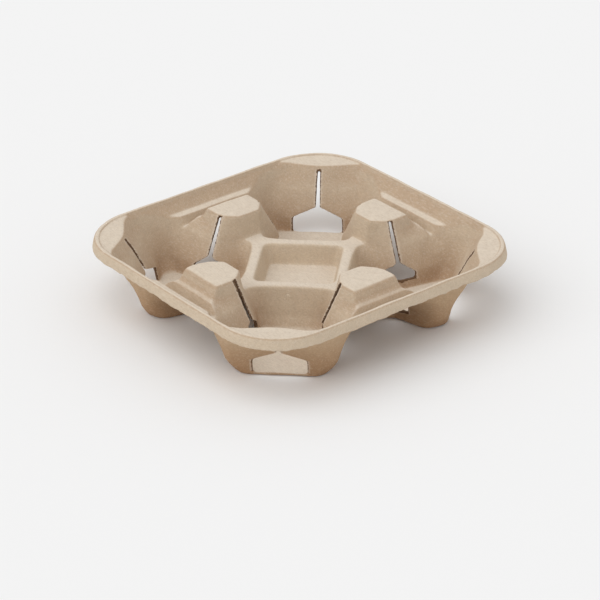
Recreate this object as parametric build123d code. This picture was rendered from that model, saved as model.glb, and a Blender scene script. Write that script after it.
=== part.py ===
from build123d import *
from math import cos, hypot, radians, sin, sqrt, tan
import os

# Driving dimensions of the carrier, in millimetres and degrees.
# Every depth is measured down from the top of the rim.
height = 45.5
wall = 2.0
corner_radius = 42.0

# Rim and skirt
skirt_depth = 8.0
skirt_flare = 1.2
rim_rounding = 1.5
lip_width = 3.5
collar_fall = 7.5
collar_rounding = 7.0
corner_land = 2.6
bump_half_width = 17.0
bump_depth = 2.0

# Cup pockets, given as distances from a pocket's centre
cup_pitch = 106.6
side_land = 5.2
flap_radius = 39.5
flap_lean = 27.9
lobe_radius = 49.0
lobe_draft = 17.0
valley_radius = 48.8
inner_wall_radius = 42.4
inner_draft = 12.0
sill_draft = 8.7
foot_rounding = 7.0
side_turn = 120

# Slits and the openings at the foot of the flaps
corner_slit_top = 3.5
side_slit_top = 1.6
slit_width = 1.4
slit_foot_width = 2.4
slit_flare = 6.5
slit_start = 3.0
flap_gap = 10.0
corner_opening = 34.0
side_opening = 21.0
side_sill = 6.5

# Ridge, centre well and posts
ridge_depth = 17.0
ridge_width = 6.5
basin_draft = 10.0
basin_rounding = 3.0
well_depth = 31.0
well_draft = 15.0
well_rounding = 4.0
post_top_depth = 1.0
post_inner = 3.3
post_outer = 25.7
post_draft = 10.0
post_rounding = 2.0
post_foot_rounding = 2.5

# Mid-side saddles
ledge_depth = 8.5
inner_ledge = 2.0
outer_ledge = 4.5
trough_depth = 15.5
trough_half_length = 34.0
trough_draft = 20.0

# How strongly a flap curves away beside its slit: at the rim, the ledge, the ridge and its foot
corner_curl = (0.5, 0.35, 0.12, 0.05)
outer_curl = (0.6, 1.15, 0.12, 0.05)
inner_curl = (1.5, 3.3, 4.0, 3.0)

# How the curved walls are drawn: the higher the sharpness, the tighter the turn between two walls
turn_sharpness = 16
wall_reach = 75
outline_step = 6
foot_turns = (0, 45, 74)

# How far a cut runs past the face that it opens
overlap = 1.0

cup_place = cup_pitch / 2
pocket_place = cup_place * sqrt(2)
half_side = cup_place + lobe_radius + side_land
floor_depth = height - wall
flap_depth = floor_depth - flap_gap
flap_foot = flap_radius - flap_depth * tan(radians(flap_lean))
post_reach = cup_place + post_outer
post_foot = post_reach + (ledge_depth - post_top_depth) * tan(radians(post_draft)) + post_foot_rounding


def level(depth):
    """Height above the table of a depth below the rim."""
    return height - depth


def polar(angle, radius):
    """A point round a pocket's centre, its angle taken from the outward diagonal."""
    return (radius * cos(radians(angle)), radius * sin(radians(angle)))


def at_depth(values, depth):
    """A value between those given at the rim, the ledge, the ridge and the foot of the flaps."""
    stops = (0, ledge_depth, ridge_depth, flap_depth)
    for index in range(len(stops) - 1):
        if depth <= stops[index + 1]:
            share = (depth - stops[index]) / (stops[index + 1] - stops[index])
            return values[index] + share * (values[index + 1] - values[index])
    return values[-1]


def flap_distance(turn, flap, curl):
    """How far out a flap lies in a direction that is turned away from its slit."""
    away = tan(radians(turn))
    return flap * (1 + curl * away**2) / cos(radians(turn))


def pocket_radius(angle, depth, inset):
    """The pocket's radius in one direction: the nearest wall, with soft turns between walls."""
    flap = flap_radius - min(depth, flap_depth) * tan(radians(flap_lean))
    flap -= max(depth - flap_depth, 0) * tan(radians(sill_draft))
    drawn_in = max(depth - ridge_depth, 0) * tan(radians(inner_draft)) + inset
    limits = []
    if angle < side_turn:
        limits.append(lobe_radius - depth * tan(radians(lobe_draft)) - inset)
    else:
        limits.append(valley_radius - drawn_in)
    if angle < wall_reach:
        limits.append(flap_distance(angle, flap, at_depth(corner_curl, depth)))
    if abs(angle - side_turn) < wall_reach:
        curl = outer_curl if angle < side_turn else inner_curl
        limits.append(flap_distance(angle - side_turn, flap, at_depth(curl, depth)))
    if 180 - angle < wall_reach:
        limits.append((inner_wall_radius - drawn_in) / cos(radians(180 - angle)))
    total = sum(limit**-turn_sharpness for limit in limits)
    return total ** (-1 / turn_sharpness)


def moved_out(points, index, amount):
    """One point of a half outline, moved outwards by the thickness of the wall."""
    x, y = points[index]
    if index == 0:
        return (x + amount, 0)
    if index == len(points) - 1:
        return (x - amount, 0)
    before, after = points[index - 1], points[index + 1]
    along = (after[0] - before[0], after[1] - before[1])
    length = hypot(*along)
    return (x + amount * along[1] / length, y - amount * along[0] / length)


def pocket_outline(depth, inset, grow):
    """The outline of a pocket at one level, as two smooth halves that mirror each other."""
    angles = range(0, 181, outline_step)
    inner = [polar(angle, pocket_radius(angle, depth, inset)) for angle in angles]
    points = [moved_out(inner, index, grow) for index in range(len(inner))]
    shares = [angle / 180 for angle in angles]
    half = Edge.make_spline(points, tangents=[(0, 1), (0, -1)], parameters=shares)
    return Face(Wire([half, half.mirror(Plane.XZ)]))


def pocket(grow):
    """One cup pocket as a solid, air when it isn't grown and pulp when it is."""
    sections = []
    for depth in (0, ledge_depth, ridge_depth, flap_depth):
        sections.append(Pos(0, 0, level(depth)) * pocket_outline(depth, 0, grow))
    for turn in foot_turns:
        depth = floor_depth - foot_rounding * (1 - sin(radians(turn)))
        inset = foot_rounding * (1 - cos(radians(turn)))
        place = level(floor_depth) - grow if turn == foot_turns[-1] else level(depth)
        sections.append(Pos(0, 0, place) * pocket_outline(depth, inset, grow))
    return Rot(0, 0, 45) * Pos(pocket_place, 0, 0) * loft(sections, ruled=True)


def between(top_face, top, bottom_face, bottom):
    """A solid with straight sides between two flat outlines at two depths."""
    return loft([Pos(0, 0, level(top)) * top_face, Pos(0, 0, level(bottom)) * bottom_face], ruled=True)


def square(half, rounding):
    """A square face with rounded corners, centred on the carrier."""
    return RectangleRounded(2 * half, 2 * half, rounding)


def collar_outline(narrowing, grow):
    """The opening inside the rim at one level, with a straight lip across each corner."""
    reach = half_side - lip_width - narrowing + grow
    corner_reach = pocket_place + flap_radius + corner_land - narrowing + grow
    cut = corner_reach * sqrt(2) - reach
    half = [(reach, -cut), (reach, cut), (cut, reach), (-cut, reach)]
    corners = half + [(-x, -y) for x, y in half]
    outline = make_face(Polyline(*corners, close=True))
    return fillet(outline.vertices(), collar_rounding)


def island(grow):
    """The square block of the posts, with soft shoulders and feet, that stands inside the ring."""
    side_fall = ledge_depth - post_foot_rounding
    side_lean = (side_fall - post_top_depth) * tan(radians(post_draft))
    profile = [
        (0, post_reach - post_rounding - post_top_depth),
        (post_top_depth + post_rounding, post_reach),
        (side_fall, post_reach + side_lean),
        (ledge_depth, post_foot),
    ]
    stretch = (ledge_depth + grow) / ledge_depth
    sections = []
    for depth, half in profile:
        across = 2 * (half - grow)
        sections.append(Pos(0, 0, level(depth * stretch)) * Rectangle(across, across))
    return loft(sections, ruled=True)


def ring(grow):
    """The space between the rim and the outer faces of the posts, down to the ledges."""
    depth = ledge_depth + grow
    opening = between(collar_outline(0, grow), 0, collar_outline(collar_fall, grow), depth)
    bump_rise = corner_land + bump_depth
    bump_reach = (bump_half_width**2 + bump_rise**2) / (2 * bump_rise)
    bump_top = Circle(bump_reach - grow)
    bump_foot = Circle(bump_reach - grow + ledge_depth * tan(radians(flap_lean)))
    bump = between(bump_top, 0, bump_foot, depth)
    bump_place = pocket_place + flap_radius - bump_depth + bump_reach
    for turn in range(4):
        opening -= Rot(0, 0, 45 + 90 * turn) * Pos(bump_place, 0, 0) * bump
    return opening - island(grow)


def post_tops(grow):
    """The shallow step that lowers the flat tops of the posts under the rim."""
    across = 2 * (post_reach + overlap)
    depth = post_top_depth + grow
    return Pos(0, 0, level(depth)) * Box(across, across, depth, align=(Align.CENTER, Align.CENTER, Align.MIN))


def basin(grow):
    """The square middle of the tray above the ridge."""
    half = cup_place - post_inner + grow
    lean = ridge_depth * tan(radians(basin_draft))
    return between(square(half + lean, basin_rounding), 0, square(half, basin_rounding), ridge_depth + grow)


def well(grow):
    """The square well in the middle, turned so that a side faces each pocket."""
    half = pocket_place - inner_wall_radius - ridge_width + grow
    lean = (well_depth - ridge_depth) * tan(radians(well_draft))
    top = square(half, well_rounding)
    foot = square(half - lean, well_rounding)
    return Rot(0, 0, 45) * between(top, ridge_depth - overlap, foot, well_depth + grow)


def trough(grow):
    """The hollow of one saddle between the two ledges of a side."""
    near = post_foot + inner_ledge - grow
    far = half_side - lip_width - collar_fall - outer_ledge + grow
    foot = trough_depth + grow
    lean = (trough_depth - ledge_depth) * tan(radians(trough_draft))
    section = Polyline(
        (near, level(0)),
        (far, level(0)),
        (far, level(ledge_depth)),
        (far - lean, level(foot)),
        (near + lean, level(foot)),
        (near, level(ledge_depth)),
        close=True,
    )
    return extrude(make_face(Plane.XZ * section), amount=trough_half_length + grow, both=True)


def rim_and_skirt():
    """The flat rim and the flared skirt that hangs from it."""
    top = half_side - skirt_flare
    outside = between(square(top, corner_radius), 0, square(half_side, corner_radius), skirt_depth)
    outside = fillet(outside.edges().group_by(Axis.Z)[-1], rim_rounding)
    inner = top - wall
    flare = skirt_flare * (skirt_depth - wall) / skirt_depth
    inner_radius = corner_radius - wall
    inside = between(square(inner, inner_radius), wall, square(inner + flare, inner_radius), skirt_depth)
    return outside - inside


def slit(top, opening, opening_depth):
    """One slit up a flap with the opening at its foot, as the air that is cut away."""
    slope = [
        (slit_width / 2, top + slit_width / 2),
        (slit_foot_width / 2, flap_depth - slit_flare),
        (opening / 2, flap_depth),
        (opening / 2, opening_depth),
    ]
    points = [(0, top)] + slope + [(-x, depth) for x, depth in reversed(slope)]
    section = Polyline(*[(x, level(depth)) for x, depth in points], close=True)
    near = flap_foot - slit_start
    far = lobe_radius + overlap
    return Pos(near, 0, 0) * extrude(make_face(Plane.YZ * section), amount=far - near, dir=(1, 0, 0))


def forms(grow):
    """Every hollow of one quarter of the tray, as air or grown by the wall as pulp."""
    saddle = trough(grow)
    return [
        ring(grow),
        post_tops(grow),
        basin(grow),
        well(grow),
        saddle,
        Rot(0, 0, 90) * saddle,
        pocket(grow),
    ]


def quarter():
    """The corner of the tray round one pocket, cut off at the two planes of symmetry."""
    corner = Box(2 * half_side, 2 * half_side, 2 * height, align=(Align.MIN, Align.MIN, Align.CENTER))
    inside = half_side - skirt_flare - overlap
    plate = Pos(0, 0, level(wall)) * extrude(square(inside, corner_radius - overlap), amount=wall)
    pulp = (rim_and_skirt() + plate) & corner
    for shape in forms(wall):
        pulp += shape & corner
    for shape in forms(0):
        pulp -= shape
    place = Rot(0, 0, 45) * Pos(pocket_place, 0, 0)
    pulp -= place * slit(corner_slit_top, corner_opening, floor_depth)
    for turn in (side_turn, -side_turn):
        pulp -= place * Rot(0, 0, turn) * slit(side_slit_top, side_opening, floor_depth - side_sill)
    return pulp


def carrier():
    """The moulded tray: a skin of pulp round its hollows, under a rim, with its slits cut."""
    corner = quarter()
    pulp = corner
    for turn in (90, 180, 270):
        pulp += Rot(0, 0, turn) * corner
    return pulp


os.makedirs("parts", exist_ok=True)
tray = carrier()
tray.label = "carrier"
export_step(tray, "parts/carrier.step")
print("solids", len(tray.solids()), "volume", round(tray.volume), "valid", tray.is_valid)
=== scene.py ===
"""Looks for a moulded pulp cup carrier: one soft-edged pulp piece over its CAD solid, and a plain stage.

Lengths are in metres, with +Z up and the tray's feet on z = 0.
"""

from math import atan2, cos, hypot, pi, radians, sin, tan

import bmesh
import bpy
from bpy.props import FloatProperty, FloatVectorProperty, IntProperty, PointerProperty
from mathutils import Matrix, Vector, noise
from mathutils.bvhtree import BVHTree


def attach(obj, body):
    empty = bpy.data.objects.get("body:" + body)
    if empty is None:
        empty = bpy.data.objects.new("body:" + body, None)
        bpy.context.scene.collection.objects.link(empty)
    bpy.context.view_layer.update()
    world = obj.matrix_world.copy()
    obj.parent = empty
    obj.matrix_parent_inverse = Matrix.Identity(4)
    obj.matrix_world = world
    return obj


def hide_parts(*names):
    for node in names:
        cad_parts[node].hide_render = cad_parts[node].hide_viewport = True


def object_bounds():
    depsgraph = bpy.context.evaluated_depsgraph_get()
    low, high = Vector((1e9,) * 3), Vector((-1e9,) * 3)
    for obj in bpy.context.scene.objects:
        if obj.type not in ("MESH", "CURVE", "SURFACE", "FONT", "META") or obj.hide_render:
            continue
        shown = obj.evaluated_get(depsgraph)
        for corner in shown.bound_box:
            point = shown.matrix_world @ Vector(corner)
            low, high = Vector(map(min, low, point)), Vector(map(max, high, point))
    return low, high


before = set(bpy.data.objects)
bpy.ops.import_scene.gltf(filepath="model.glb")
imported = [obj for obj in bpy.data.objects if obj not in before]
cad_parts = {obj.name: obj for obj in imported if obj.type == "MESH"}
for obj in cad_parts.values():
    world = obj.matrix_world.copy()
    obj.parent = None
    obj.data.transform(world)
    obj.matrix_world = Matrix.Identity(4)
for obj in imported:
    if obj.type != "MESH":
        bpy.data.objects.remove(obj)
CAD_NODE = "carrier"
CAD_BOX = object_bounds()
LOW, HIGH = CAD_BOX

# Rim and skirt of the CAD solid
CORNER_ROUNDING = 0.042
SKIRT_FLARE = 0.0012
SKIRT_DEPTH = 0.008
SKIRT_FOOT = HIGH.z - SKIRT_DEPTH

# Cup pockets of the CAD solid, and the cuts up their flaps, which start a little way from a pocket's middle
CUP_PLACE = 0.0533
FLAP_RADIUS = 0.0395
FLAP_TURN = 2 * pi / 3
CUTS_START = 0.016
SLIT_WIDTH = 0.002
OPENING_TOP = 0.012
FLARE_TOP = 0.0185

# For each kind of cut: the width of its opening, the height of its sill, and the slit's top below the rim
CORNER_CUT = (0.034, 0.0025, 0.0035)
SIDE_CUT = (0.021, 0.0065, 0.0016)

# Points that are nearer to each other than the gap become one, and one smoothing moves a point by a share
# of the way. Within some widths of the bead from the rim's edge the folds aren't softened further.
MERGE_GAP = 1e-6
SMOOTHING_SHARE = 0.5
CRISP_BEADS = 2

# The torn edge of the skirt: how high and how far in it reaches, and its second, finer teeth
TORN_HEIGHT = SKIRT_DEPTH / 3
TORN_REACH = 2 * SKIRT_FLARE
FINE_TEETH = 2.7
FINE_SHARE = 0.5

# The sunk lip: the heights and the distances inside the bead over which it comes and goes, and how many
# times wider the bead is than the step down from it
LIP_HEIGHTS = (HIGH.z - 1.5 * SKIRT_DEPTH, HIGH.z - SKIRT_DEPTH / 3)
LIP_FADES = (0.019, 0.024)
BEAD_TO_STEP = 5

# How far off its face a ray starts that looks for the sheet above it
RAY_START = 0.0002
UPWARD = Vector((0, 0, 1))

# Patterns of the pulp: features per metre, and the noise's detail
BLOTCHES = (60.0, 3.0)
CLOUDS = (260.0, 2.0)
GRAIN = (800.0, 4.0)
NOISE_MIDDLE = 0.5

# Fibres: features per metre, and the noise at which a stroke starts and is full
DARK_FIBRES = (330.0, 0.60, 0.70)
PALE_FIBRES = (280.0, 0.61, 0.72)
STROKE_DETAIL = 1.0
STROKE_STRETCH = (1, 3.5, 3.5)
STROKE_TURNS = ((0.3, 0.2, 0.4), (1.2, 0.5, 1.9), (0.4, 1.3, 3.0), (2.2, 0.9, 0.9))

# Where a look starts and is full, by how far up a face points: painted light on level faces, painted shade
# on slopes
LEVEL_FACES = (0.72, 0.97)
SLOPES_START = (0.3, 0.6)
SLOPES_END = (0.8, 0.95)

# Where a look starts and is full, by height, by distance from the tray's axis, and by how sharp an edge is
# Painted shade down in the pockets: low upright walls away from the tray's axis
DEEP_HEIGHTS = (0.004, 0.036)
DEEP_REACH = (0.036, 0.05)
# Painted shade on sloping faces high up
SLOPE_HEIGHTS = (0.03, 0.036)
# Level faces up at the rim get less of the painted light
RIM_HEIGHTS = (0.035, 0.044)
# Pointed edges are made lighter
POINTED_EDGES = (0.52, 0.60)

# How strongly each look shows
RIM_DULLING = 0.14
POINTED_SHARE = 0.5
BLOTCHED_WEAR = 0.5
# Painted shade down in the pockets and on the high slopes
DEEP_SHARE = 0.95
SLOPE_SHARE = 0.5
BLOTCHED_DEPTH = 0.4
DARK_SHARE = 0.16
PALE_SHARE = 0.2
SHADE_BASE = 0.86
SHADE_SWING = 0.14

# The fringe beside a cut: how far it wanders and where its parts end, in widths of the fringe, and how
# strongly its dark part, painted shade of the gap in the cut, and the pale line beside it show
FRINGE_WANDER = 3
DARK_END = 0.5
PALE_END = 2.5
CUT_SHADE_SHARE = 0.9
PALE_LINE_SHARE = 0.4

# Relief of the pulp: how much of it each pattern makes, its strength and its height
GRAIN_RELIEF = 0.6
CLOUD_RELIEF = 0.6
PALE_RELIEF = 0.3
DARK_RELIEF = 0.2
RELIEF_STRENGTH = 0.5
RELIEF_HEIGHT = 0.0003
PULP_SHEEN = 0.2

# The way in which the large lamp shines, and the camera that sees the tray as the photograph does
LAMP_WAY = Vector((0.15, 0.62, -1.1))
CAMERA_AZIMUTH = radians(52.927)
CAMERA_ELEVATION = radians(28.165)
CAMERA_ROLL = radians(-1.684)
CAMERA_AIM = Vector((0.01448, -0.01096, 0.01055))
CAMERA_DISTANCE = 1.5926
CAMERA_LENS = 148.44
CAMERA_SENSOR = 36
CAMERA_SIGHT = 20

bl_info = {
    "name": "Moulded pulp cup carrier",
    "version": (1, 0, 0),
    "blender": (4, 5, 0),
    "location": "View3D > Sidebar > Cup carrier",
    "description": "Makes a four-cup pulp tray and the stage that it stands on",
    "category": "Add Mesh",
}


class PulpSizes(bpy.types.PropertyGroup):
    """Sizes and colours of the pulp."""

    face_size: FloatProperty(
        name="Face size", description="Width of the small even faces that the sheet is made of",
        default=0.00062, min=0.0005, max=0.005, subtype="DISTANCE", unit="LENGTH")
    kept_faces: FloatProperty(
        name="Kept faces", description="Share of the small faces that is kept in the finished piece",
        default=0.165, min=0.05, max=1.0, subtype="FACTOR")
    softening: IntProperty(
        name="Softening", description="How often every edge is smoothed, as a wet screen rounds it",
        default=8, min=0, max=40)
    fold_softening: IntProperty(
        name="Fold softening", description="How often folds away from the rim and the cuts are smoothed",
        default=12, min=0, max=200)
    cut_margin: FloatProperty(
        name="Cut margin", description="Width beside each cut that keeps its crisp edge",
        default=0.0022, min=0.0, max=0.01, subtype="DISTANCE", unit="LENGTH")
    bead_width: FloatProperty(
        name="Bead width", description="Width of the rounded bead round the rim",
        default=0.0028, min=0.001, max=0.01, subtype="DISTANCE", unit="LENGTH")
    bead_height: FloatProperty(
        name="Bead height", description="How far the bead stands over the lip inside it",
        default=0.0008, min=0.0, max=0.002, subtype="DISTANCE", unit="LENGTH")
    lip_slope: FloatProperty(
        name="Lip slope", description="How far the corner lips lean inwards",
        default=radians(6), min=0.0, max=radians(15), subtype="ANGLE", unit="ROTATION")
    lip_drop: FloatProperty(
        name="Lip drop", description="The most that a leaning lip sinks",
        default=0.0007, min=0.0, max=0.003, subtype="DISTANCE", unit="LENGTH")
    ripple: FloatProperty(
        name="Ripple", description="Height of the slow waves in the dried sheet",
        default=0.00035, min=0.0, max=0.002, subtype="DISTANCE", unit="LENGTH")
    ripple_width: FloatProperty(
        name="Ripple width", description="Width of one slow wave",
        default=0.016, min=0.002, max=0.1, subtype="DISTANCE", unit="LENGTH")
    dimple: FloatProperty(
        name="Dimple", description="Height of the small dimples that the mould's screen leaves",
        default=0.00008, min=0.0, max=0.001, subtype="DISTANCE", unit="LENGTH")
    dimple_width: FloatProperty(
        name="Dimple width", description="Width of one dimple",
        default=0.0035, min=0.001, max=0.02, subtype="DISTANCE", unit="LENGTH")
    ragged: FloatProperty(
        name="Ragged edge", description="How far the skirt's lower edge wanders up and down",
        default=0.0009, min=0.0, max=0.003, subtype="DISTANCE", unit="LENGTH")
    ragged_width: FloatProperty(
        name="Ragged width", description="Width of one tooth of the ragged edge",
        default=0.006, min=0.001, max=0.05, subtype="DISTANCE", unit="LENGTH")
    # The dark part of this fringe is painted shade of the gap in each cut
    fringe: FloatProperty(
        name="Fringe", description="Width of the darker fringe of torn fibres beside each cut",
        default=0.0009, min=0.0001, max=0.01, subtype="DISTANCE", unit="LENGTH")
    pulp_colour: FloatVectorProperty(
        name="Pulp", description="Main colour of the dried pulp",
        default=(0.605, 0.49, 0.362), size=3, min=0, max=1, subtype="COLOR")
    # Painted light: level faces get this lighter colour, and pointed edges and random blotches get it too
    lit_and_edge_colour: FloatVectorProperty(
        name="Worn pulp", description="Colour of level faces and rubbed edges",
        default=(0.70, 0.605, 0.495), size=3, min=0, max=1, subtype="COLOR")
    # Painted shade: the low walls in the pockets and the sloping faces high up get this darker colour
    deep_shade_colour: FloatVectorProperty(
        name="Deep pulp", description="Colour of the upright walls down in the cup pockets",
        default=(0.425, 0.282, 0.178), size=3, min=0, max=1, subtype="COLOR")
    # Painted shade: this tint darkens every point that has the sheet above it, such as under the skirt
    under_sheet_shade: FloatVectorProperty(
        name="Screen side", description="Tint of the browner underside, which lay on the mould's screen",
        default=(0.90, 0.80, 0.69), size=3, min=0, max=1, subtype="COLOR")
    fibre_colour: FloatVectorProperty(
        name="Dark fibres", description="Colour of the darker fibres and specks",
        default=(0.33, 0.23, 0.15), size=3, min=0, max=1, subtype="COLOR")
    # Painted shade of the gaps in the slits and openings, laid beside each cut
    cut_shade_colour: FloatVectorProperty(
        name="Cut edge", description="Colour of the torn edges of the slits and openings",
        default=(0.12, 0.062, 0.03), size=3, min=0, max=1, subtype="COLOR")
    pale_colour: FloatVectorProperty(
        name="Pale fibres", description="Colour of the bleached fibres",
        default=(0.78, 0.70, 0.60), size=3, min=0, max=1, subtype="COLOR")
    roughness: FloatProperty(
        name="Roughness", description="Roughness of the dry surface",
        default=0.92, min=0.0, max=1.0, subtype="FACTOR")


class StageSizes(bpy.types.PropertyGroup):
    """Floor and light."""

    floor_size: FloatProperty(
        name="Floor size", description="Side of the square floor",
        default=8.0, min=1.0, max=20.0, subtype="DISTANCE", unit="LENGTH")
    floor_drop: FloatProperty(
        name="Floor drop", description="How far the floor lies below the feet, so that they share no plane",
        default=0.0001, min=0.0, max=0.001, subtype="DISTANCE", unit="LENGTH")
    floor_colour: FloatVectorProperty(
        name="Floor", description="Colour of the floor and the background",
        default=(0.888, 0.888, 0.888), size=3, min=0, max=1, subtype="COLOR")
    sky_strength: FloatProperty(
        name="Sky strength", description="Strength of the even light from all round",
        default=0.725, min=0.0, max=3.0)
    lamp_strength: FloatProperty(
        name="Lamp strength", description="Strength of the large soft lamp, up on the left",
        default=1.06, min=0.0, max=20.0)
    lamp_softness: FloatProperty(
        name="Lamp softness", description="How wide the lamp looks from the tray",
        default=radians(75), min=0.0, max=radians(180), subtype="ANGLE", unit="ROTATION")


class Maths:
    """A socket in a material, with Python's operators for Math nodes."""

    def __init__(self, tree, socket):
        self.tree = tree
        self.socket = socket

    def _node(self, operation, *values, clamp=False):
        return node_in(self.tree, "ShaderNodeMath", values, operation=operation, use_clamp=clamp)

    def __add__(self, other):
        return self._node("ADD", self, other)

    def __radd__(self, other):
        return self._node("ADD", other, self)

    def __sub__(self, other):
        return self._node("SUBTRACT", self, other)

    def __rsub__(self, other):
        return self._node("SUBTRACT", other, self)

    def __mul__(self, other):
        return self._node("MULTIPLY", self, other)

    def __rmul__(self, other):
        return self._node("MULTIPLY", other, self)

    def clipped(self):
        """The value kept between 0 and 1."""
        return self._node("ADD", self, 0.0, clamp=True)

    def ramped(self, low, high):
        """0 at low, 1 at high, and a straight line between."""
        return node_in(self.tree, "ShaderNodeMapRange", {"Value": self, "From Min": low, "From Max": high},
                       clamp=True)


def node_in(tree, kind, values=(), output=0, **settings):
    """A new node with its settings, then the values or links of its sockets; returns one output."""
    made = tree.nodes.new(kind)
    for name, value in settings.items():
        setattr(made, name, value)
    pairs = values.items() if isinstance(values, dict) else enumerate(values)
    for socket, value in pairs:
        if isinstance(value, Maths):
            tree.links.new(value.socket, made.inputs[socket])
        else:
            made.inputs[socket].default_value = value
    return Maths(tree, made.outputs[output])


def mixed(tree, share, first, second, blend="MIX"):
    """A colour between two colours, each a plain one or one from other nodes."""
    first, second = (colour if isinstance(colour, Maths) else (*colour, 1) for colour in (first, second))
    return node_in(tree, "ShaderNodeMix", {"Factor": share, "A": first, "B": second},
                   output="Result", data_type="RGBA", blend_type=blend)


def as_grey(tree, value):
    """A grey colour of that brightness."""
    return node_in(tree, "ShaderNodeCombineColor", {"Red": value, "Green": value, "Blue": value})


def stored(tree, name):
    """A value that the piece's mesh stores for each of its points."""
    return node_in(tree, "ShaderNodeAttribute", output="Fac", attribute_name=name)


def noise_at(tree, place, scale, detail, stretch=(1, 1, 1), turn=(0, 0, 0)):
    """Cloudy noise with features about 1 / scale metres wide, stretched and turned for fibres."""
    laid = node_in(tree, "ShaderNodeMapping", {"Vector": place, "Rotation": turn, "Scale": stretch})
    return node_in(tree, "ShaderNodeTexNoise", {"Vector": laid, "Scale": scale, "Detail": detail})


def fibres(tree, place, scale, low, high):
    """Short strokes that lie in several directions, 1 on a stroke and 0 beside it."""
    strokes = 0.0
    for turn in STROKE_TURNS:
        lying = noise_at(tree, place, scale, STROKE_DETAIL, STROKE_STRETCH, turn)
        strokes = strokes + lying.ramped(low, high)
    return strokes.clipped()


def pulp_material(sizes):
    """Dried kraft pulp: matt, blotched, full of short fibres, with painted light on level faces, lighter
    pointed edges, and painted shade down in the pockets, on high slopes, under the sheet and beside the
    cuts.
    """
    material = bpy.data.materials.new("pulp")
    material.use_nodes = True
    tree = material.node_tree
    surface = next(n for n in tree.nodes if n.type == "BSDF_PRINCIPLED")
    place = node_in(tree, "ShaderNodeTexCoord", output="Object")
    blotches, clouds, grain = (noise_at(tree, place, *pattern) for pattern in (BLOTCHES, CLOUDS, GRAIN))
    dark, pale = (fibres(tree, place, *kind) for kind in (DARK_FIBRES, PALE_FIBRES))

    # Painted light on level faces and pointed edges, then painted shade down in the pockets and on high
    # slopes
    lit_and_edge, deep = light_and_shade_shares(tree, place, blotches)
    colour = mixed(tree, lit_and_edge, sizes.pulp_colour, sizes.lit_and_edge_colour)
    colour = mixed(tree, deep, colour, sizes.deep_shade_colour)
    colour = mixed(tree, dark * DARK_SHARE, colour, sizes.fibre_colour)
    colour = mixed(tree, pale * PALE_SHARE, colour, sizes.pale_colour)
    shade = SHADE_BASE + grain * SHADE_SWING + clouds * SHADE_SWING
    colour = mixed(tree, 1.0, colour, as_grey(tree, shade), blend="MULTIPLY")
    # Painted shade wherever the sheet lies above
    colour = mixed(tree, stored(tree, "covered"), colour, sizes.under_sheet_shade, blend="MULTIPLY")
    # Painted shade beside the cuts
    colour = fringed(tree, colour, grain, sizes)
    tree.links.new(colour.socket, surface.inputs["Base Color"])

    relief = grain * GRAIN_RELIEF + clouds * CLOUD_RELIEF + pale * PALE_RELIEF - dark * DARK_RELIEF
    bump = node_in(tree, "ShaderNodeBump",
                   {"Height": relief, "Strength": RELIEF_STRENGTH, "Distance": RELIEF_HEIGHT})
    tree.links.new(bump.socket, surface.inputs["Normal"])
    surface.inputs["Roughness"].default_value = sizes.roughness
    surface.inputs["Specular IOR Level"].default_value = PULP_SHEEN
    return material


def light_and_shade_shares(tree, place, blotches):
    """The share of the lighter colour, painted light on level faces with lighter pointed edges, and of the
    darker one, painted shade down in the pockets and on high slopes, with random blotches in both.
    """
    normal = node_in(tree, "ShaderNodeNewGeometry", output="Normal")
    upward = node_in(tree, "ShaderNodeSeparateXYZ", {"Vector": normal}, output="Z")
    above = node_in(tree, "ShaderNodeSeparateXYZ", {"Vector": place}, output="Z")
    flat = node_in(tree, "ShaderNodeVectorMath", (place, (1, 1, 0)), operation="MULTIPLY")
    outward = node_in(tree, "ShaderNodeVectorMath", (flat,), output="Value", operation="LENGTH")
    edge = node_in(tree, "ShaderNodeNewGeometry", output="Pointiness")
    level = upward.ramped(*LEVEL_FACES)
    # Painted shade on the low walls in the pockets and on the sloping faces high up
    walls = (1 - above.ramped(*DEEP_HEIGHTS)) * (1 - level) * outward.ramped(*DEEP_REACH)
    sloping = upward.ramped(*SLOPES_START) * (1 - upward.ramped(*SLOPES_END)) * above.ramped(*SLOPE_HEIGHTS)
    pointed = edge.ramped(*POINTED_EDGES)
    blotched = blotches - NOISE_MIDDLE
    # Painted light on level faces, less of it up at the rim, and lighter pointed edges
    lit_and_edge = level * (1 - above.ramped(*RIM_HEIGHTS) * RIM_DULLING) + pointed * POINTED_SHARE
    lit_and_edge = lit_and_edge + blotched * BLOTCHED_WEAR
    deep = walls * DEEP_SHARE + sloping * SLOPE_SHARE + blotched * BLOTCHED_DEPTH
    return lit_and_edge.clipped(), deep.clipped()


def fringed(tree, colour, grain, sizes):
    """The colour with a dark, ragged fringe of painted shade beside each cut, and a thin pale line beside
    that.
    """
    torn = stored(tree, "from_cut") + (grain - NOISE_MIDDLE) * (FRINGE_WANDER * sizes.fringe)
    beside = torn.ramped(DARK_END * sizes.fringe, sizes.fringe)
    pale_line = beside * (1 - torn.ramped(sizes.fringe, PALE_END * sizes.fringe))
    colour = mixed(tree, pale_line * PALE_LINE_SHARE, colour, sizes.pale_colour)
    # Painted shade of the gap in the cut
    return mixed(tree, (1 - beside) * CUT_SHADE_SHARE, colour, sizes.cut_shade_colour)


def new_piece(name, mesh):
    """An object with this mesh, at the origin."""
    piece = bpy.data.objects.new(name, mesh)
    bpy.context.scene.collection.objects.link(piece)
    return piece


def merged_copy(node):
    """A copy of a CAD node's mesh with its loose triangles joined."""
    solid = node.data.copy()
    sheet = bmesh.new()
    sheet.from_mesh(solid)
    bmesh.ops.remove_doubles(sheet, verts=sheet.verts, dist=MERGE_GAP)
    sheet.to_mesh(solid)
    sheet.free()
    return solid


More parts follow.
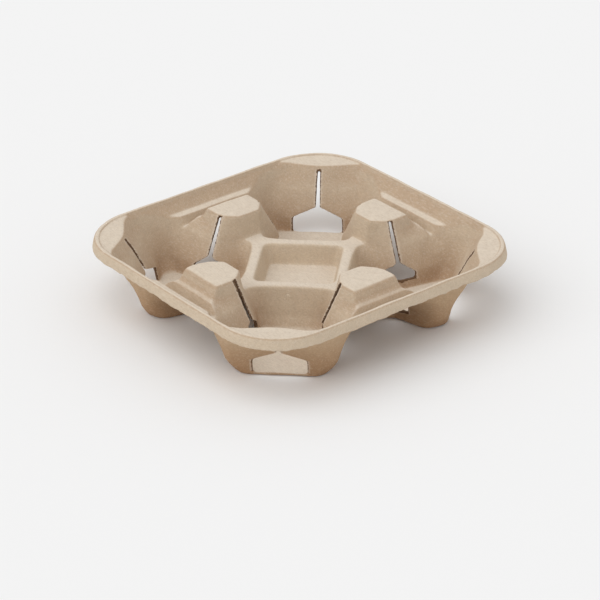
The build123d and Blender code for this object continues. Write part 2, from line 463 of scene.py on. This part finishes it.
def finished(piece):
    """The piece's mesh with its modifiers applied."""
    bpy.context.view_layer.update()
    done = bpy.data.meshes.new_from_object(piece.evaluated_get(bpy.context.evaluated_depsgraph_get()))
    piece.modifiers.clear()
    piece.data = done
    return done


def ramp(value, start, end):
    """0 at start, 1 at end, and a straight line between."""
    return min(1.0, max(0.0, (value - start) / (end - start)))


def from_rim(place):
    """How far inside the rim's outer edge a point lies."""
    straight = HIGH.x - SKIRT_FLARE - CORNER_ROUNDING
    past_x, past_y = abs(place.x) - straight, abs(place.y) - straight
    past = hypot(max(past_x, 0), max(past_y, 0)) + min(max(past_x, past_y), 0)
    return CORNER_ROUNDING - past


def from_cut(place):
    """How far a point of a flap lies from its slit, or from the opening at the slit's foot."""
    along, across = abs(place.x) - CUP_PLACE, abs(place.y) - CUP_PLACE
    reach = hypot(along, across)
    angle = atan2(across, along) - pi / 4
    nearest = round(angle / FLAP_TURN)
    opening, sill, slit_top = SIDE_CUT if nearest else CORNER_CUT
    in_flap = CUTS_START < reach < FLAP_RADIUS + SLIT_WIDTH
    if not in_flap or not sill < place.z < HIGH.z - slit_top:
        return FLAP_RADIUS
    width = SLIT_WIDTH + ramp(place.z, FLARE_TOP, OPENING_TOP) * (opening - SLIT_WIDTH)
    return reach * abs(sin(angle - nearest * FLAP_TURN)) - width / 2


def shape_sheet(mesh, sizes):
    """Rounds the folds, makes the rim's bead, lets the sheet ripple, and tears the skirt's lower edge."""
    sheet = bmesh.new()
    sheet.from_mesh(mesh)
    crisp_rim = CRISP_BEADS * sizes.bead_width
    folds = [vert for vert in sheet.verts
             if from_cut(vert.co) > sizes.cut_margin and from_rim(vert.co) > crisp_rim]
    for verts, passes in ((sheet.verts, sizes.softening), (folds, sizes.fold_softening)):
        for _ in range(passes):
            bmesh.ops.smooth_vert(sheet, verts=verts, factor=SMOOTHING_SHARE,
                                  use_axis_x=True, use_axis_y=True, use_axis_z=True)
    sheet.normal_update()
    for vert in sheet.verts:
        place = vert.co.copy()
        wave = noise.noise(place / sizes.ripple_width) * sizes.ripple
        wave += noise.noise(place / sizes.dimple_width) * sizes.dimple
        vert.co += vert.normal * wave
        vert.co.z += torn_edge(place, sizes) - sunk_lip(place, sizes)
        for axis in range(3):
            vert.co[axis] = min(max(vert.co[axis], LOW[axis]), HIGH[axis])
    sheet.to_mesh(mesh)
    sheet.free()


def torn_edge(place, sizes):
    """How far the skirt's lower edge wanders up or down at one place."""
    near_edge = ramp(place.z, SKIRT_FOOT + TORN_HEIGHT, SKIRT_FOOT)
    if near_edge == 0 or from_rim(place) > TORN_REACH:
        return 0
    teeth = noise.noise(place / sizes.ragged_width)
    teeth += FINE_SHARE * noise.noise(place * FINE_TEETH / sizes.ragged_width)
    return near_edge * sizes.ragged * teeth


def sunk_lip(place, sizes):
    """How far the lip inside the rim's bead lies below it, more so towards the pockets."""
    inside = from_rim(place) - sizes.bead_width
    high = ramp(place.z, *LIP_HEIGHTS)
    outer = 1 - ramp(inside, *LIP_FADES)
    step = sizes.bead_height * ramp(inside, 0, sizes.bead_width / BEAD_TO_STEP)
    slope = min(sizes.lip_drop, max(0, inside) * tan(sizes.lip_slope))
    return high * outer * (step + slope)


def mark_sheet(mesh):
    """Stores for the material how far each point lies from a cut, for the painted shade beside the cuts,
    and whether the sheet covers it, for the painted shade under the sheet.
    """
    places = [vert.co for vert in mesh.vertices]
    sheet = BVHTree.FromPolygons(places, [face.vertices for face in mesh.polygons])
    lifted = [vert.co + vert.normal * RAY_START for vert in mesh.vertices]
    covered = [0.0 if sheet.ray_cast(start, UPWARD)[0] is None else 1.0 for start in lifted]
    for name, values in (("from_cut", [from_cut(place) for place in places]), ("covered", covered)):
        mesh.attributes.new(name, "FLOAT", "POINT").data.foreach_set("value", values)


class CARRIER_OT_pulp(bpy.types.Operator):
    """Makes the pulp tray over its CAD solid"""

    bl_idname = "carrier.pulp"
    bl_label = "Pulp tray"

    def execute(self, context):
        sizes = context.scene.pulp_sizes
        tray = new_piece("pulp_tray", merged_copy(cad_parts[CAD_NODE]))
        even = tray.modifiers.new("even_faces", "REMESH")
        even.mode = "VOXEL"
        even.voxel_size = sizes.face_size
        shape_sheet(finished(tray), sizes)
        fewer = tray.modifiers.new("fewer_faces", "DECIMATE")
        fewer.ratio = sizes.kept_faces
        mesh = finished(tray)
        mesh.shade_smooth()
        mark_sheet(mesh)
        mesh.materials.clear()
        mesh.materials.append(pulp_material(sizes))
        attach(tray, "root")
        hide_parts(CAD_NODE)
        return {"FINISHED"}


class CARRIER_OT_stage(bpy.types.Operator):
    """Makes the floor, the lights and the camera"""

    bl_idname = "carrier.stage"
    bl_label = "Stage"

    def execute(self, context):
        sizes = context.scene.stage_sizes
        plain = bmesh.new()
        bmesh.ops.create_grid(plain, x_segments=1, y_segments=1, size=sizes.floor_size / 2,
                              matrix=Matrix.Translation((0, 0, -sizes.floor_drop)))
        mesh = bpy.data.meshes.new("floor")
        plain.to_mesh(mesh)
        plain.free()
        mesh.materials.append(floor_material(sizes))
        new_piece("floor", mesh)
        light_sky(sizes)
        hang_lamp(sizes)
        place_camera()
        return {"FINISHED"}


def floor_material(sizes):
    """A matt floor in the background's colour, which keeps the tray's soft shadow."""
    material = bpy.data.materials.new("floor")
    material.use_nodes = True
    surface = next(n for n in material.node_tree.nodes if n.type == "BSDF_PRINCIPLED")
    surface.inputs["Base Color"].default_value = (*sizes.floor_colour, 1)
    surface.inputs["Roughness"].default_value = 1.0
    surface.inputs["Specular IOR Level"].default_value = 0.0
    return material


def light_sky(sizes):
    """Even light from all round, which is seen, itself or mirrored, in the floor's colour."""
    world = bpy.data.worlds.new("sky")
    bpy.context.scene.world = world
    world.use_nodes = True
    tree = world.node_tree
    sky = next(n for n in tree.nodes if n.type == "BACKGROUND")
    seen = 0.0
    for ray in ("Is Camera Ray", "Is Glossy Ray", "Is Transmission Ray"):
        seen = seen + node_in(tree, "ShaderNodeLightPath", output=ray)
    seen = seen.clipped()
    strength = seen * sizes.floor_colour[0] + (1 - seen) * sizes.sky_strength
    tree.links.new(strength.socket, sky.inputs["Strength"])
    sky.inputs["Color"].default_value = (1, 1, 1, 1)


def hang_lamp(sizes):
    """One large soft lamp, from the upper left."""
    lamp = bpy.data.lights.new("big_lamp", "SUN")
    lamp.energy = sizes.lamp_strength
    lamp.angle = sizes.lamp_softness
    holder = bpy.data.objects.new("big_lamp", lamp)
    holder.rotation_mode = "QUATERNION"
    holder.rotation_quaternion = LAMP_WAY.to_track_quat("-Z", "Y")
    bpy.context.scene.collection.objects.link(holder)


def place_camera():
    """The camera, far off and looking down on the tray's front corner."""
    level = Vector((cos(CAMERA_AZIMUTH), sin(CAMERA_AZIMUTH), 0))
    outward = Vector((sin(CAMERA_AZIMUTH), -cos(CAMERA_AZIMUTH), 0))
    back = outward * cos(CAMERA_ELEVATION) + UPWARD * sin(CAMERA_ELEVATION)
    upright = back.cross(level)
    right = level * cos(CAMERA_ROLL) + upright * sin(CAMERA_ROLL)
    up = upright * cos(CAMERA_ROLL) - level * sin(CAMERA_ROLL)
    camera = bpy.data.cameras.new("camera")
    camera.lens = CAMERA_LENS
    camera.sensor_width = CAMERA_SENSOR
    camera.clip_end = CAMERA_SIGHT
    holder = bpy.data.objects.new("camera", camera)
    turned = Matrix((right, up, back)).transposed().to_4x4()
    turned.translation = CAMERA_AIM + back * CAMERA_DISTANCE
    holder.matrix_world = turned
    bpy.context.scene.collection.objects.link(holder)
    bpy.context.scene.camera = holder


class VIEW3D_PT_cup_carrier(bpy.types.Panel):
    """Sizes, colours and the makers of the tray and its stage."""

    bl_label = "Cup carrier"
    bl_space_type = "VIEW_3D"
    bl_region_type = "UI"
    bl_category = "Cup carrier"

    def draw(self, context):
        for group, maker in ((context.scene.pulp_sizes, CARRIER_OT_pulp),
                             (context.scene.stage_sizes, CARRIER_OT_stage)):
            box = self.layout.box()
            for name in group.bl_rna.properties.keys():
                if name not in ("rna_type", "name"):
                    box.prop(group, name)
            box.operator(maker.bl_idname)


CLASSES = (PulpSizes, StageSizes, CARRIER_OT_pulp, CARRIER_OT_stage, VIEW3D_PT_cup_carrier)


def register():
    for kind in CLASSES:
        bpy.utils.register_class(kind)
    bpy.types.Scene.pulp_sizes = PointerProperty(type=PulpSizes)
    bpy.types.Scene.stage_sizes = PointerProperty(type=StageSizes)


def unregister():
    del bpy.types.Scene.stage_sizes
    del bpy.types.Scene.pulp_sizes
    for kind in reversed(CLASSES):
        bpy.utils.unregister_class(kind)


def main():
    register()
    bpy.context.scene.view_settings.view_transform = "Standard"
    bpy.ops.carrier.pulp()
    bpy.ops.carrier.stage()


if __name__ == "__main__":
    main()
